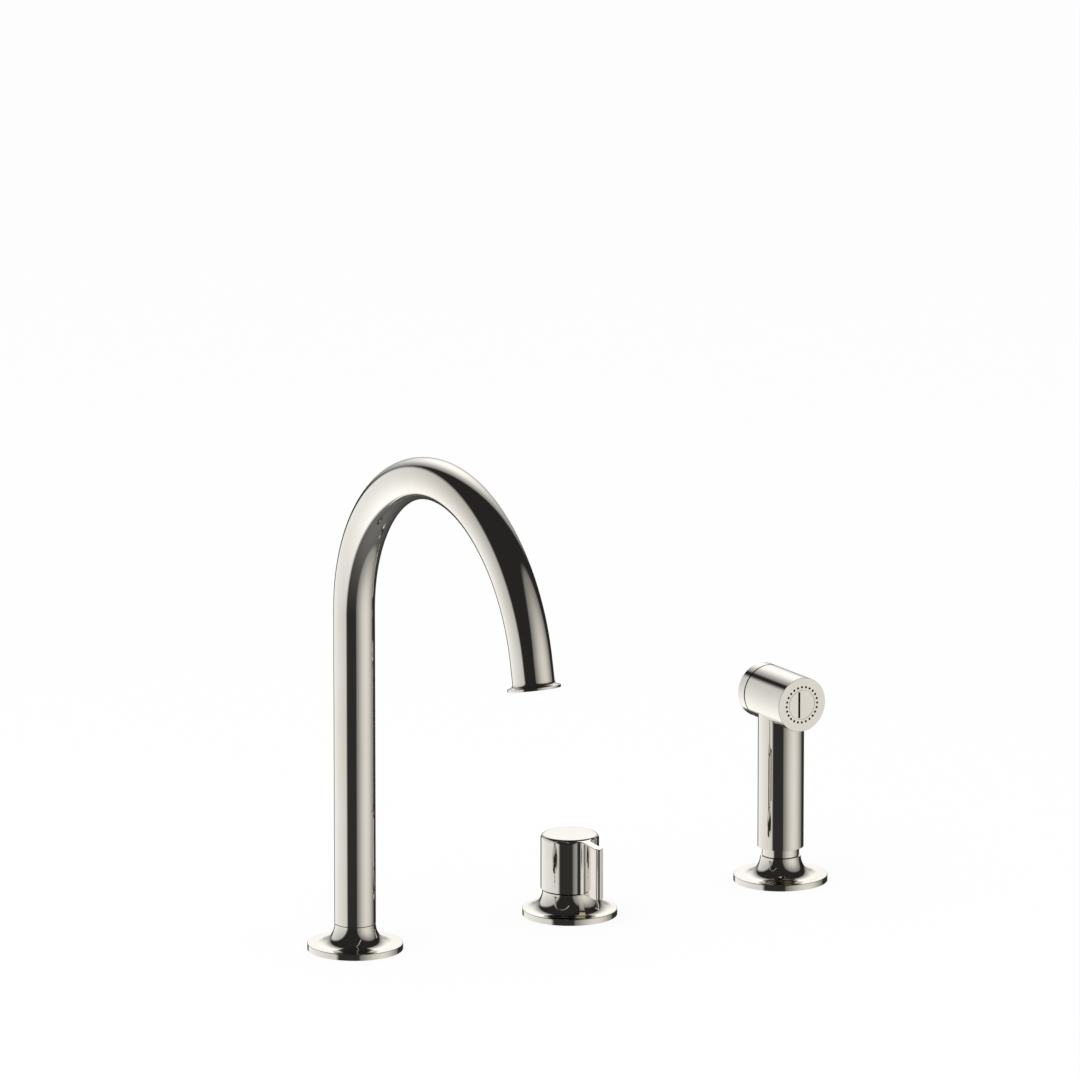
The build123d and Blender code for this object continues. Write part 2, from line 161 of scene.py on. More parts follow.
def cut(piece, tool, operation="DIFFERENCE"):
    modifier(piece, "BOOLEAN", object=tool, operation=operation, solver="EXACT")
    bpy.data.objects.remove(tool)


def joined(piece, *others):
    bpy.ops.object.select_all(action="DESELECT")
    for other in others:
        other.select_set(True)
    piece.select_set(True)
    bpy.context.view_layer.objects.active = piece
    bpy.ops.object.join()
    return piece


def place(piece, at=(0, 0, 0), turn=(0, 0, 0)):
    # moves a piece and bakes the move into its mesh
    onlyActive(piece)
    piece.location = Vector(at) * mm
    piece.rotation_euler = [math.radians(angle) for angle in turn]
    bpy.ops.object.transform_apply(location=True, rotation=True, scale=True)
    return piece


def copied(piece, name, shift):
    onlyActive(piece)
    bpy.ops.object.duplicate(linked=False)
    twin = newPiece(name)
    return place(twin, shift)


def bar(radius, low, high, sides):
    # a round tool or blank along Z, from low to high
    bpy.ops.object.select_all(action="DESELECT")
    bpy.ops.mesh.primitive_cylinder_add(
        vertices=sides, radius=radius * mm, depth=(high - low) * mm,
        location=(0, 0, (high + low) / 2 * mm),
    )
    blank = newPiece("blank")
    bpy.ops.object.transform_apply(location=True)
    return blank


def threadRidge(core, crest, pitch, low, high, steps=40, share=0.98):
    # a helical ridge, wound up from a three-cornered outline and closed at both ends; its foot is
    # a share of the pitch, so that its turns stay apart
    foot = pitch * share
    ridge = drawn("thread", [
        (core, 0, low), (crest, 0, low + foot / 2), (core, 0, low + foot), (core, 0, low),
    ])
    bpy.ops.mesh.select_all(action="SELECT")
    bpy.ops.mesh.remove_doubles(threshold=weld * mm)
    bpy.ops.object.mode_set(mode="OBJECT")
    turns = int((high - low) / pitch) - 1
    modifier(
        ridge, "SCREW", axis="Z", steps=steps, render_steps=steps, iterations=turns,
        screw_offset=pitch * mm, use_merge_vertices=False,
    )
    closeEnds(4)
    return ridge


def closeEnds(sides):
    # caps the two open ends of a wound piece, whose outline has at most this many sides
    bpy.ops.object.mode_set(mode="EDIT")
    bpy.ops.mesh.select_all(action="DESELECT")
    bpy.ops.mesh.select_non_manifold()
    bpy.ops.mesh.fill_holes(sides=sides)
    bpy.ops.mesh.select_all(action="SELECT")
    bpy.ops.mesh.normals_make_consistent(inside=False)
    bpy.ops.object.mode_set(mode="OBJECT")


def setDown(piece, body, material, slot, *nodes):
    piece.data.materials.clear()
    piece.data.materials.append(material)
    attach(piece, body)
    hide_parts(*nodes)


class Wire:
    # a shader socket that takes part in sums: mask * 0.5 + 1 adds its Math nodes

    def __init__(self, socket):
        self.socket = socket

    def node(self, kind, settings, inputs, output=0):
        tree = self.socket.id_data
        made = tree.nodes.new(kind)
        for setting, value in settings.items():
            setattr(made, setting, value)
        for name, value in inputs.items():
            if isinstance(value, Wire):
                tree.links.new(value.socket, made.inputs[name])
            else:
                made.inputs[name].default_value = value
        return Wire(made.outputs[output])

    def maths(self, operation, first, second):
        return self.node("ShaderNodeMath", {"operation": operation}, {0: first, 1: second})

    def __add__(self, other):
        return self.maths("ADD", self, other)

    def __mul__(self, other):
        return self.maths("MULTIPLY", self, other)

    def __pow__(self, other):
        return self.maths("POWER", self, other)

    def __rpow__(self, other):
        return self.maths("POWER", other, self)

    __radd__ = __add__
    __rmul__ = __mul__

    def dot(self, vector):
        settings = {"operation": "DOT_PRODUCT"}
        return self.node("ShaderNodeVectorMath", settings, {0: self, 1: vector}, output="Value")

    def scaled(self, colour):
        return self.node("ShaderNodeVectorMath", {"operation": "SCALE"}, {0: colour, "Scale": self})

    def plus(self, colour):
        return self.node("ShaderNodeVectorMath", {"operation": "ADD"}, {0: self, 1: colour})

    def noise(self, scale, detail=2.0, roughness=0.5):
        inputs = {"Vector": self, "Scale": scale, "Detail": detail, "Roughness": roughness}
        return self.node("ShaderNodeTexNoise", {}, inputs)

    def ranged(self, low, high, toLow, toHigh, smooth=False):
        settings = {"interpolation_type": "SMOOTHSTEP" if smooth else "LINEAR"}
        inputs = {"Value": self, 1: low, 2: high, 3: toLow, 4: toHigh}
        return self.node("ShaderNodeMapRange", settings, inputs)

    def mixed(self, first, second):
        # this socket is the share of the second colour
        settings = {"data_type": "RGBA"}
        return self.node("ShaderNodeMix", settings, {0: self, 6: first, 7: second}, output=2)

    def bump(self, strength, distance):
        inputs = {"Height": self, "Strength": strength, "Distance": distance}
        return self.node("ShaderNodeBump", {}, inputs)


def finish(name, constants):
    # a material with its fixed values set, its shader and the piece's own coordinates
    material = bpy.data.materials.new(name)
    material.use_nodes = True
    shader = material.node_tree.nodes["Principled BSDF"]
    for socket, value in constants.items():
        shader.inputs[socket].default_value = value
    coordinates = material.node_tree.nodes.new("ShaderNodeTexCoord")
    return material, shader, Wire(coordinates.outputs["Object"])


def connect(wire, socket):
    wire.socket.id_data.links.new(wire.socket, socket)


# in the looks, a range is the stretch of a pattern's values that is spread out, polish is the
# roughness at its two ends, and the heights of bumps are in metres
nickelLook = {
    "pale": (0.83, 0.805, 0.75, 1),
    "warm": (0.80, 0.765, 0.69, 1),
    "patches": {"scale": 18.0, "detail": 3.0},
    "patchRange": (0.35, 0.65),
    "buffing": {"scale": 420.0, "detail": 4.0, "roughness": 0.6},
    "buffingRange": (0.3, 0.7),
    "polish": (0.025, 0.05),
    "waves": {"scale": 30.0, "detail": 1.0},
    "waveStrength": 0.02,
    "waveHeight": 0.001,
}


def makeNickel():
    # polished, with a breath of colour between its patches and marks of the buffing wheel
    look = nickelLook
    material, shader, spot = finish("polishedNickel", {"Metallic": 1.0})
    patches = spot.noise(**look["patches"]).ranged(*look["patchRange"], 0.0, 1.0)
    connect(patches.mixed(look["pale"], look["warm"]), shader.inputs["Base Color"])
    buffing = spot.noise(**look["buffing"]).ranged(*look["buffingRange"], *look["polish"])
    connect(buffing, shader.inputs["Roughness"])
    waves = spot.noise(**look["waves"]).bump(look["waveStrength"], look["waveHeight"])
    connect(waves, shader.inputs["Normal"])
    return material


brassLook = {
    "clean": (0.78, 0.57, 0.27, 1),
    "tarnished": (0.58, 0.40, 0.18, 1),
    "tarnish": {"scale": 60.0, "detail": 5.0},
    "tarnishRange": (0.4, 0.7),
    "polish": (0.22, 0.4),
    "grain": {"scale": 900.0},
    "grainStrength": 0.08,
    "grainHeight": 0.0002,
}


def makeBrass():
    look = brassLook
    material, shader, spot = finish("turnedBrass", {"Metallic": 1.0})
    tarnish = spot.noise(**look["tarnish"]).ranged(*look["tarnishRange"], 0.0, 1.0)
    connect(tarnish.mixed(look["clean"], look["tarnished"]), shader.inputs["Base Color"])
    connect(tarnish.ranged(0.0, 1.0, *look["polish"]), shader.inputs["Roughness"])
    grain = spot.noise(**look["grain"]).bump(look["grainStrength"], look["grainHeight"])
    connect(grain, shader.inputs["Normal"])
    return material


steelLook = {
    "grey": (0.55, 0.56, 0.57, 1),
    "bright": (0.7, 0.71, 0.72, 1),
    "spangles": 260.0,
    "spangleRange": (0.0, 0.8),
    "scuffs": {"scale": 500.0, "detail": 3.0},
    "scuffRange": (0.3, 0.7),
    "polish": (0.28, 0.42),
}


def makeSteel():
    look = steelLook
    material, shader, spot = finish("galvanisedSteel", {"Metallic": 1.0})
    spangle = spot.node("ShaderNodeTexVoronoi", {}, {"Vector": spot, "Scale": look["spangles"]})
    shade = spangle.ranged(*look["spangleRange"], 0.0, 1.0)
    connect(shade.mixed(look["grey"], look["bright"]), shader.inputs["Base Color"])
    scuffs = spot.noise(**look["scuffs"]).ranged(*look["scuffRange"], *look["polish"])
    connect(scuffs, shader.inputs["Roughness"])
    return material


# each has two colours, the roughness of each, the size of its grain and how strong its bumps are
dullLooks = {
    "blackRubber": {
        "dark": (0.018, 0.018, 0.018, 1), "light": (0.035, 0.034, 0.033, 1),
        "roughness": (0.55, 0.75), "grain": 800.0, "depth": 0.2,
    },
    "blackPlastic": {
        "dark": (0.02, 0.02, 0.021, 1), "light": (0.03, 0.03, 0.031, 1),
        "roughness": (0.35, 0.5), "grain": 600.0, "depth": 0.08,
    },
    "whitePlastic": {
        "dark": (0.68, 0.68, 0.66, 1), "light": (0.76, 0.76, 0.74, 1),
        "roughness": (0.3, 0.42), "grain": 500.0, "depth": 0.05,
    },
    "whiteCeramic": {
        "dark": (0.82, 0.81, 0.78, 1), "light": (0.88, 0.87, 0.84, 1),
        "roughness": (0.08, 0.18), "grain": 700.0, "depth": 0.02,
    },
    # painted shade: near black and dull, put on faces that lie in shade in gaps, holes and the slot
    "paintedShade": {
        "dark": (0.002, 0.002, 0.002, 1), "light": (0.004, 0.004, 0.004, 1),
        "roughness": (0.8, 0.95), "grain": 500.0, "depth": 0.1, "shine": 0.0,
    },
}
dullGrain = {"detail": 3.0, "range": (0.3, 0.7), "height": 0.0002, "shine": 0.5}


def makeDull(name):
    # rubber, plastic and ceramic, and the near-black painted shade: a fine grain in the colour, the
    # gloss and the surface
    look = {**dullGrain, **dullLooks[name]}
    constants = {"Metallic": 0.0, "Specular IOR Level": look["shine"]}
    material, shader, spot = finish(name, constants)
    speck = spot.noise(look["grain"], look["detail"]).ranged(*look["range"], 0.0, 1.0)
    connect(speck.mixed(look["dark"], look["light"]), shader.inputs["Base Color"])
    connect(speck.ranged(0.0, 1.0, *look["roughness"]), shader.inputs["Roughness"])
    connect(speck.bump(look["depth"], look["height"]), shader.inputs["Normal"])
    return material


nickel = makeNickel()
brass = makeBrass()
steel = makeSteel()
rubber = makeDull("blackRubber")
blackPlastic = makeDull("blackPlastic")
whitePlastic = makeDull("whitePlastic")
ceramic = makeDull("whiteCeramic")
shadePaint = makeDull("paintedShade")
print("finishes made")

# the finish of each inner node whose name holds the word
nodeFinish = {
    "gasket": rubber,
    "clamp_plate": steel,
    "slip_ring": blackPlastic,
    "swivel_seals": rubber,
    "washer": rubber,
    "plunger": blackPlastic,
    "bridge": brass,
    "spring": steel,
    "cartridge_body": whitePlastic,
    "cartridge_nut": brass,
    "cartridge_seal": rubber,
    "disc": ceramic,
    "spindle": brass,
    "sleeve": blackPlastic,
    "pivot_seal": rubber,
    "clip": steel,
    "check_valve": whitePlastic,
    "valve_body": blackPlastic,
    "valve_stem": steel,
    "valve_seal": rubber,
}
for node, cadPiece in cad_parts.items():
    for part, look in nodeFinish.items():
        if part in node:
            cadPiece.data.materials.clear()
            cadPiece.data.materials.append(look)
            cadPiece.visible_glossy = False  # the worktop hides them from the polished metal


def paintShade(piece, test):
    # the faces whose middle and direction pass the test get painted shade: a near-black, dull
    # finish in place of the shade that falls there
    piece.data.materials.append(shadePaint)
    for face in piece.data.polygons:
        if test(face.center / mm, face.normal):
            face.material_index = 1


def paintSeamShade(piece, height, radius):
    # painted shade on the level faces in the gap between the control's base and its knob, which
    # shows as the black line there
    middle = Vector((stationX["control"], 0))

    def isInSeam(spot, normal):
        return abs(spot.z - height) < near and (spot.xy - middle).length < radius

    paintShade(piece, isInSeam)


flange = {
    "bore": 12.3,
    "recess": 26.3,
    "recessHeight": 1.2,
    "edge": 0.5,
    "flareReach": 11.0,
    "flareRise": 12.0,
    "flareSteps": 30,
    "neckWall": 1.0,
    "seams": {"spout": 13.0, "control": 17.4, "spray": 13.0},
    "tops": {"spout": 16.5, "control": 16.2, "spray": 16.5},
}


def neckBore(name):
    return max(flange["bore"], flange["seams"][name] - flange["neckWall"])


def makeFlange(name):
    # the plate sweeps up to the seam in a quarter of an ellipse, with no joint line
    low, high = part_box(name + "_flange")
    radius, height = (high.x - low.x) / 2 / mm, high.z / mm
    edge, steps = flange["edge"], flange["flareSteps"]
    seam, inside = flange["seams"][name], neckBore(name)
    flare = []
    for step in range(steps + 1):
        turn = math.radians(90 - 90 * step / steps)
        flare.append((
            seam + flange["flareReach"] * (1 - math.cos(turn)),
            height + flange["flareRise"] * (1 - math.sin(turn)),
        ))
    piece = lathe("deckFlange." + name, [
        (flange["bore"], flange["recessHeight"]),
        (flange["recess"], flange["recessHeight"]),
        (flange["recess"], 0),
        (radius, 0),
        (radius, height - edge),
        *arc((radius, height - edge), (radius - edge, height), (0, 1), steps=5),
        *flare,
        (seam, flange["tops"][name]),
        (inside, flange["tops"][name]),
        (inside, height),
        (flange["bore"], height),
    ], steps=160)
    polish(piece)
    place(piece, (stationX[name], 0, 0))
    setDown(piece, "fixed_body", nickel, "nickel", name + "_flange")
    if name == "control":
        # painted shade in the gap under the knob
        paintSeamShade(piece, flange["tops"][name], seam)


base = {
    "fit": 0.05,
    "foot": 4.0,
    "shankTop": 0.0,
    "shankCore": 11.1,
    "shankCrest": 12.0,
    "threadSink": 0.1,
    "pitch": 1.5,
    "pilot": 11.2,
    "pilotTop": -52.0,
    "shankEnd": -60.0,
    "portRadius": 4.0,
    "portDepth": 12.0,
    "portBore": 3.2,
    "portOffset": 5.7,
}


def drilled(piece, count, first, top):
    # water ports from the end of the shank, each with a wider mouth
    mouthTop = base["shankEnd"] + base["portDepth"]
    for index in range(count):
        spot = polar(base["portOffset"], first + 360 / count * index)
        mouth = bar(base["portRadius"], base["shankEnd"] - spare, mouthTop, sides=32)
        throat = bar(base["portBore"], mouthTop - spare, top + spare, sides=32)
        for tool in (mouth, throat):
            cut(piece, place(tool, spot))


def makeBase(name, inside, ports=0, firstPort=0, portTop=-math.inf):
    # the core inside the flange's neck, and under the worktop the bare brass shank; inside is
    # the outline of the bore, from the seam down
    wall, top, split = neckBore(name) - base["fit"], flange["tops"][name], base["shankTop"]
    upper = [spot for spot in inside if spot[1] > split]
    lower = [spot for spot in inside if spot[1] < split]
    middle = (upper[-1][0], split)
    core = lathe("base." + name, [
        (wall, base["foot"]), (wall, top), *upper, middle,
        (base["shankCore"], split), (base["shankCore"], base["foot"]),
    ])
    shank = lathe("shank." + name, [
        (base["shankCore"], split), middle, *lower, (base["pilot"], base["shankEnd"]),
        (base["pilot"], base["pilotTop"]), (base["shankCore"], base["pilotTop"]),
    ])
    if portTop > split:
        drilled(core, ports, firstPort, portTop)
    if ports:
        drilled(shank, ports, firstPort, portTop)
    softenEdges(core)
    softenEdges(shank)
    joined(shank, threadRidge(
        base["shankCore"] - base["threadSink"], base["shankCrest"], base["pitch"],
        base["pilotTop"], split,
    ))
    for piece, look, slot in ((core, nickel, "nickel"), (shank, brass, "brass")):
        polish(piece)
        place(piece, (stationX[name], 0, 0))
        setDown(piece, "fixed_body", look, slot, name + "_base")
    if name == "control":
        # painted shade in the gap under the knob
        paintSeamShade(core, top, wall)
    shank.visible_glossy = False


def grooved(radius, depth, width, height):
    # the outline of a square groove round a rod; height is that of its middle
    low, high = height - width / 2, height + width / 2
    return [(radius, low), (radius - depth, low), (radius - depth, high), (radius, high)]


# a groove is its depth, its width and the height of its middle
spigot = {
    "radius": 10.95,
    "top": 50.0,
    "bore": 8.0,
    "floor": -20.0,
    "well": 6.0,
    "wellDepth": 4,
    "screwGroove": (1.4, 4.6, 29.3),
    "lowerSealGroove": (1.8, 2.2, 36.5),
    "upperSealGroove": (1.8, 2.2, 42.5),
}
cup = {"radius": 14.5, "floor": 5.5}
sleeveBore = {"radius": 9.85, "ledge": -15.0, "hose": 8.0}


def makeBases():
    radius, wellFloor = spigot["radius"], spigot["floor"] - spigot["wellDepth"]
    makeBase("spout", [
        (radius, flange["tops"]["spout"]),
        *grooved(radius, *spigot["screwGroove"]),
        *grooved(radius, *spigot["lowerSealGroove"]),
        *grooved(radius, *spigot["upperSealGroove"]),
        (radius, spigot["top"]),
        (spigot["bore"], spigot["top"]),
        (spigot["bore"], spigot["floor"]),
        (spigot["well"], spigot["floor"]),
        (spigot["well"], wellFloor),
        (0, wellFloor),
        (0, base["shankEnd"]),
    ], ports=2, firstPort=0, portTop=wellFloor)
    makeBase("control", [
        (cup["radius"], flange["tops"]["control"]),
        (cup["radius"], cup["floor"]),
        (0, cup["floor"]),
        (0, base["shankEnd"]),
    ], ports=3, firstPort=30, portTop=cup["floor"])
    makeBase("spray", [
        (sleeveBore["radius"], flange["tops"]["spray"]),
        (sleeveBore["radius"], sleeveBore["ledge"]),
        (sleeveBore["hose"], sleeveBore["ledge"]),
        (sleeveBore["hose"], base["shankEnd"]),
    ])


# under the worktop
lockNut = {
    "flats": 36.0,
    "bore": 12.05,
    "chamfer": 0.6,
    "chamferAngle": 30,
    "chamferSpare": 0.01,
    "edge": 0.25,
}


def makeLockNuts():
    # a hexagonal blank, with its corners turned off at both ends and its bore cut through
    low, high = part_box("spout_lock_nut")
    bottom, top = low.z / mm, high.z / mm
    half = 30  # degrees from the middle of a flat to a corner
    flat = lockNut["flats"] / 2
    corner = flat / math.cos(math.radians(half))
    nut = place(bar(corner, bottom, top, sides=6), turn=(0, 0, half))
    nut.name = nut.data.name = "lockNut"
    tangent = math.tan(math.radians(lockNut["chamferAngle"]))
    slope = (corner - flat + lockNut["chamfer"]) * tangent
    turnedTop, outside = flat - lockNut["chamfer"], corner + lockNut["chamferSpare"]
    rounded = lathe("chamfers", [
        (0, bottom), (turnedTop, bottom), (outside, bottom + slope),
        (outside, top - slope), (turnedTop, top), (0, top),
    ], steps=72)
    cut(nut, rounded, "INTERSECT")
    cut(nut, bar(lockNut["bore"], bottom - spare, top + spare, sides=72))
    softenEdges(nut, lockNut["edge"])
    polish(nut)
    for name in stationX:
        piece = copied(nut, "lockNut." + name, (stationX[name], 0, 0))
        setDown(piece, "fixed_body", brass, "brass", name + "_lock_nut")
        piece.visible_glossy = False
    bpy.data.objects.remove(nut)


# the tube has rings of points at some heights of its straight part and at steps of its arcs
spout = {
    "radius": 13.0,
    "bore": 11.0,
    "foot": 17.0,
    "ringPoints": 112,
    "ringHeights": (19, 22, 25.5, 33, 38, 60, 100, 160),
    "archFoot": 218.3,
    "crownRadius": 103.0,
    "crownTurn": 121.3,
    "crownSteps": 72,
    "fallRadius": 116.0,
    "fallTurn": 46.6,
    "fallSteps": 30,
    "outletRun": 18.5,
    "flareRadius": 2.6,
    "flareTurn": 75.0,
    "lipRadius": 16.5,
    "lipSide": 1.6,
    "lipCorner": {"in": 0.15, "above": 0.08, "below": 0.1},
    "lipEdge": 0.25,
    "boreEdge": 0.2,
    "aeratorSeat": 13.1,
    "aeratorBore": 12.05,
    "screwHeight": 29.3,
    "screwHole": 2.05,
}


def spoutStations():
    # where the tube's two arcs turn, and its outlet's centre and direction, looking along X
    crownMiddle = Vector((-spout["crownRadius"], spout["archFoot"]))
    turn = math.radians(spout["crownTurn"])
    spoke = Vector((math.cos(turn), math.sin(turn)))
    fallMiddle = crownMiddle + spoke * (spout["crownRadius"] - spout["fallRadius"])
    turn += math.radians(spout["fallTurn"])
    spoke = Vector((math.cos(turn), math.sin(turn)))
    along = Vector((-spoke.y, spoke.x))
    outlet = fallMiddle + spoke * spout["fallRadius"] + along * spout["outletRun"]
    return crownMiddle, fallMiddle, outlet, along


def lipOutline():
    # where the flare starts, and (radius, distance from the outlet's face) from the tube over the
    # flare to the rim and inside
    turn = math.radians(spout["flareTurn"])
    side, edge, corner = spout["lipSide"], spout["lipEdge"], spout["lipCorner"]
    flareEnd = spout["radius"] + spout["flareRadius"] * (1 - math.cos(turn))
    flareTop = -side - (spout["lipRadius"] - flareEnd) / math.tan(turn)
    flareStart = flareTop - spout["flareRadius"] * math.sin(turn)
    rim, bore = spout["lipRadius"], spout["aeratorBore"]
    return flareStart, [
        *arc((spout["radius"], flareStart), (flareEnd, flareTop), (0, 1), steps=8),
        (rim - corner["in"], -side - corner["above"]),
        (rim, -side + corner["below"]),
        (rim, -edge),
        *arc((rim, -edge), (rim - edge, 0), (0, 1), steps=3),
        (bore + spout["boreEdge"], 0),
        (bore, -spout["boreEdge"]),
        (bore, -spout["aeratorSeat"]),
        (spout["bore"], -spout["aeratorSeat"]),
    ]


def extrudeRing(move):
    step = Vector(move) * mm
    bpy.ops.mesh.extrude_edges_move(TRANSFORM_OT_translate={"value": tuple(step)})


def scaleRing(factor, centre):
    bpy.ops.transform.resize(value=(factor, factor, factor), center_override=tuple(centre * mm))


def turnRing(middle, degrees, steps):
    # spin counts its angle the other way round its axis
    bpy.ops.mesh.spin(
        steps=steps, angle=-math.radians(degrees),
        center=(0, middle.x * mm, middle.y * mm), axis=(1, 0, 0),
    )


def makeSpoutTube():
    # one ring goes up the outside, over the lip and back down the inside to its start
    crownMiddle, fallMiddle, outlet, along = spoutStations()
    bpy.ops.object.select_all(action="DESELECT")
    bpy.ops.mesh.primitive_circle_add(
        vertices=spout["ringPoints"], radius=spout["radius"] * mm, location=(0, 0, 0),
    )
    tube = newPiece("spoutTube")
    bpy.ops.object.mode_set(mode="EDIT")
    bpy.ops.transform.translate(value=(0, 0, spout["foot"] * mm))
    height = spout["foot"]
    for nextHeight in (*spout["ringHeights"], spout["archFoot"]):
        extrudeRing((0, 0, nextHeight - height))
        height = nextHeight
    turnRing(crownMiddle, spout["crownTurn"], spout["crownSteps"])
    turnRing(fallMiddle, spout["fallTurn"], spout["fallSteps"])
    flareStart, lip = lipOutline()
    direction = Vector((0, along.x, along.y))
    extrudeRing(direction * (spout["outletRun"] + flareStart))
    radius, distance = spout["radius"], flareStart
    for nextRadius, nextDistance in lip:
        extrudeRing(direction * (nextDistance - distance))
        centre = Vector((0, outlet.x, outlet.y)) + direction * nextDistance
        scaleRing(nextRadius / radius, centre)
        radius, distance = nextRadius, nextDistance
    extrudeRing(direction * (-spout["outletRun"] - distance))
    turnRing(fallMiddle, -spout["fallTurn"], spout["fallSteps"])
    turnRing(crownMiddle, -spout["crownTurn"], spout["crownSteps"])
    extrudeRing((0, 0, spout["foot"] - spout["archFoot"]))
    pick(lambda spot: abs(spot.z - spout["foot"]) < near)
    bpy.ops.mesh.bridge_edge_loops()
    tidyShell()
    inner, outer = spout["bore"] - 2 * spare, spout["radius"] + 2 * spare
    hole = bar(spout["screwHole"], inner, outer, sides=32)
    cut(tube, place(hole, (0, 0, spout["screwHeight"]), (-90, 0, 0)))
    polish(tube)
    place(tube, (stationX["spout"], 0, 0))
    setDown(tube, "spout", nickel, "nickel", "spout_tube")


# at the backs of the spout and the knob
grubScrew = {"socket": 1.15, "socketDepth": 1.6, "tipChamfer": 0.4, "headChamfer": 0.2}


def makeGrubScrew(name, radius, tip, head, at, body, node):
    # modelled standing, head up, then laid along +Y
    tipEdge, headEdge = grubScrew["tipChamfer"], grubScrew["headChamfer"]
    screw = lathe(name, [
        (0, tip), (radius - tipEdge, tip), (radius, tip + tipEdge),
        (radius, head - headEdge), (radius - headEdge, head), (0, head),
    ], steps=36)
    cut(screw, bar(grubScrew["socket"], head - grubScrew["socketDepth"], head + spare, sides=6))
    polish(screw)
    place(screw, turn=(-90, 0, 0))
    place(screw, at)
    setDown(screw, body, steel, "steel", node)


def makeScrews():
    for body, station in (("spout", "spout"), ("knob", "control")):
        node = body + "_screw"
        low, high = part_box(node)
        radius = (high.x - low.x) / 2 / mm
        at = (stationX[station], 0, (low.z + high.z) / 2 / mm)
        makeGrubScrew(body + "Screw", radius, low.y / mm, high.y / mm, at, body, node)


spring = {"wire": 1.1, "turns": 7, "lift": 4.0, "sides": 12, "steps": 32}


def makeDiverterSpring():
    # the plunger presses it against the bridge as it lifts
    low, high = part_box("diverter_spring")
    wire, length = spring["wire"], (high.z - low.z) / mm
    bpy.ops.object.select_all(action="DESELECT")
    bpy.ops.mesh.primitive_circle_add(
        vertices=spring["sides"], radius=wire / 2 * mm, rotation=(math.pi / 2, 0, 0),
        location=((high.x - low.x) / 2 - wire / 2 * mm, 0, low.z + wire / 2 * mm),
    )
    piece = newPiece("diverterSpring")
    bpy.ops.object.transform_apply(location=True, rotation=True)
    modifier(
        piece, "SCREW", axis="Z", steps=spring["steps"], render_steps=spring["steps"],
        iterations=spring["turns"], screw_offset=(length - wire) / spring["turns"] * mm,
        use_merge_vertices=False,
    )
    closeEnds(spring["sides"])
    polish(piece)
    place(piece, (stationX["spout"], 0, 0))
    setDown(piece, "fixed_body", steel, "steel", "diverter_spring")
    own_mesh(piece)


aerator = {
    "radius": 12.0,
    "face": -0.6,
    "depth": 11.0,
    "bore": 9.6,
    "ledge": 8.4,
    "ledgeHeight": 2.5,
    "mouth": 0.9,
    "corner": 0.3,
    "edge": 0.1,
    "insertDepth": 6.0,
    "insertFit": 0.05,
    "insertWall": 1.3,
    "wire": 0.28,
    "cells": 22,
    "screenInset": 0.7,
    "diffuserInset": 0.6,
    "diffuserTop": 0.4,
    "diffuserFoot": 2.2,
}


def aimed(piece):
    # turns a piece made along Z, with the outlet's face at zero, to the spout's outlet
    outlet, along = spoutStations()[2:]
    tilt = math.degrees(math.atan2(along.y, along.x)) - 90
    place(piece, (stationX["spout"], outlet.x, outlet.y), (tilt, 0, 0))


def makeAeratorHousing():
    a = aerator
    face, back, ledge = a["face"], a["face"] - a["depth"], a["face"] - a["ledgeHeight"]
    housing = lathe("aeratorHousing", [
        (a["ledge"], face - a["mouth"]),
        (a["ledge"] + a["mouth"], face),
        (a["radius"] - a["corner"], face),
        (a["radius"], face - a["corner"]),
        (a["radius"], back),
        (a["bore"], back),
        (a["bore"], ledge),
        (a["ledge"], ledge),
    ])
    softenEdges(housing, a["edge"])
    polish(housing)
    aimed(housing)
    setDown(housing, "spout", nickel, "nickel", "aerator_housing")


def makeScreen(radius, height):
    # a round piece of square mesh
    cells = aerator["cells"]
    bpy.ops.object.select_all(action="DESELECT")
    bpy.ops.mesh.primitive_grid_add(
        x_subdivisions=cells, y_subdivisions=cells, size=2 * radius * mm, location=(0, 0, 0),
    )
    screen = newPiece("screen")
    bpy.ops.object.mode_set(mode="EDIT")
    pick(lambda spot: spot.xy.length > radius - aerator["screenInset"])
    bpy.ops.mesh.delete(type="VERT")
    bpy.ops.mesh.select_all(action="SELECT")
    bpy.ops.transform.translate(value=(0, 0, height * mm))
    bpy.ops.object.mode_set(mode="OBJECT")
    modifier(screen, "WIREFRAME", thickness=aerator["wire"] * mm, use_even_offset=False)
    return screen


def makeAeratorInsert():
    a = aerator
    radius = a["bore"] - a["insertFit"]
    inside = radius - a["insertWall"]
    bottom = a["face"] - a["ledgeHeight"]
    top = bottom - a["insertDepth"]
    rim = lathe("aeratorInsert", [(inside, top), (radius, top), (radius, bottom), (inside, bottom)])
    screen = makeScreen(radius, bottom - a["wire"])
    diffuser = bar(
        radius - a["diffuserInset"], top + a["diffuserTop"], bottom - a["diffuserFoot"], sides=64,
    )
    joined(rim, screen, diffuser)
    polish(rim)
    aimed(rim)
    setDown(rim, "spout", whitePlastic, "white_plastic", "aerator_insert")


knob = {
    "radius": 18.5,
    "foot": 17.3,
    "top": 52.4,
    "round": 2.8,
    "cavity": 15.6,
    "web": 34.0,
    "finHalf": 2.97,
    "finNose": 1.94,
    "finHollow": 4.1,
    "finReach": 37.07,
    "finRootShare": 0.9,
    "finTopRound": 0.6,
    "finTopCut": 0.3,
    "finRootTop": 51.8,
    "finEndTop": 50.3,
    "finSoftAngle": 50,
    "screwHeight": 40.0,
    "screwHole": 2.05,
    "screwHoleEnds": (12, 24),
}


